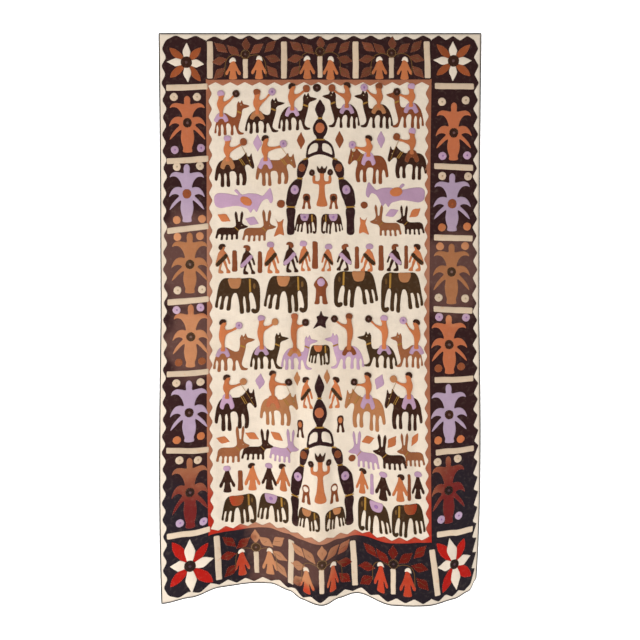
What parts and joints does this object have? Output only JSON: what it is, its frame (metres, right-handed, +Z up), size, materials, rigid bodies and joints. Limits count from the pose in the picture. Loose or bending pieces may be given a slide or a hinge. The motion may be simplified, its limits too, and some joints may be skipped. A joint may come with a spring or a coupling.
{
  "type": "applique kanduri cloth",
  "caption": "Tall cream cotton hanging with dark toothed borders, applique palms, corner flowers and rows of riders, animals and shrines, draped in soft folds toward its hem.",
  "frame": {"origin": "middle of the top edge, on the plane of the cloth's back there", "axes": "+Z up along the cloth toward its top edge, +X to the viewer's right across the cloth, +Y away from the viewer toward the wall"},
  "size_m": [1.355, 0.1181, 2.3857],
  "materials": {
    "cream": "matte dyed cotton",
    "binding": "matte dyed cotton",
    "black": "matte dyed cotton",
    "madder": "matte dyed cotton",
    "terracotta": "matte dyed cotton",
    "lilac": "matte dyed cotton",
    "tan": "matte dyed cotton"
  },
  "bodies": {
    "root": {"ground_cloth": "cream", "edge_binding": "binding", "border_left": "black", "border_right": "black", "border_top": "black", "border_bottom": "black", "zigzag_left": "terracotta", "zigzag_right": "terracotta", "zigzag_top": "terracotta", "zigzag_bottom": "terracotta", "bar_left_1": "cream", "bar_left_2": "cream", "bar_left_3": "cream", "bar_left_4": "cream", "bar_left_5": "cream", "bar_left_6": "cream", "bar_left_7": "cream", "bar_right_1": "cream", "bar_right_2": "cream", "bar_right_3": "cream", "bar_right_4": "cream", "bar_right_5": "cream", "bar_right_6": "cream", "bar_right_7": "cream", "bar_top_1": "cream", "bar_top_2": "cream", "bar_top_3": "cream", "bar_top_4": "cream", "bar_bottom_1": "cream", "bar_bottom_2": "cream", "bar_bottom_3": "cream", "bar_bottom_4": "cream", "palm_left_1": "terracotta", "palm_left_2": "lilac", "palm_left_3": "tan", "palm_left_4": "terracotta", "palm_left_5": "lilac", "palm_left_6": "madder", "palm_right_1": "terracotta", "palm_right_2": "lilac", "palm_right_3": "tan", "palm_right_4": "terracotta", "palm_right_5": "lilac", "palm_right_6": "madder", "flower_top_left_diagonal": "terracotta", "flower_top_left_cross": "cream", "flower_top_right_diagonal": "terracotta", "flower_top_right_cross": "cream", "flower_bottom_left_diagonal": "madder", "flower_bottom_left_cross": "cream", "flower_bottom_right_diagonal": "madder", "flower_bottom_right_cross": "cream"}
  },
  "joints": []
}
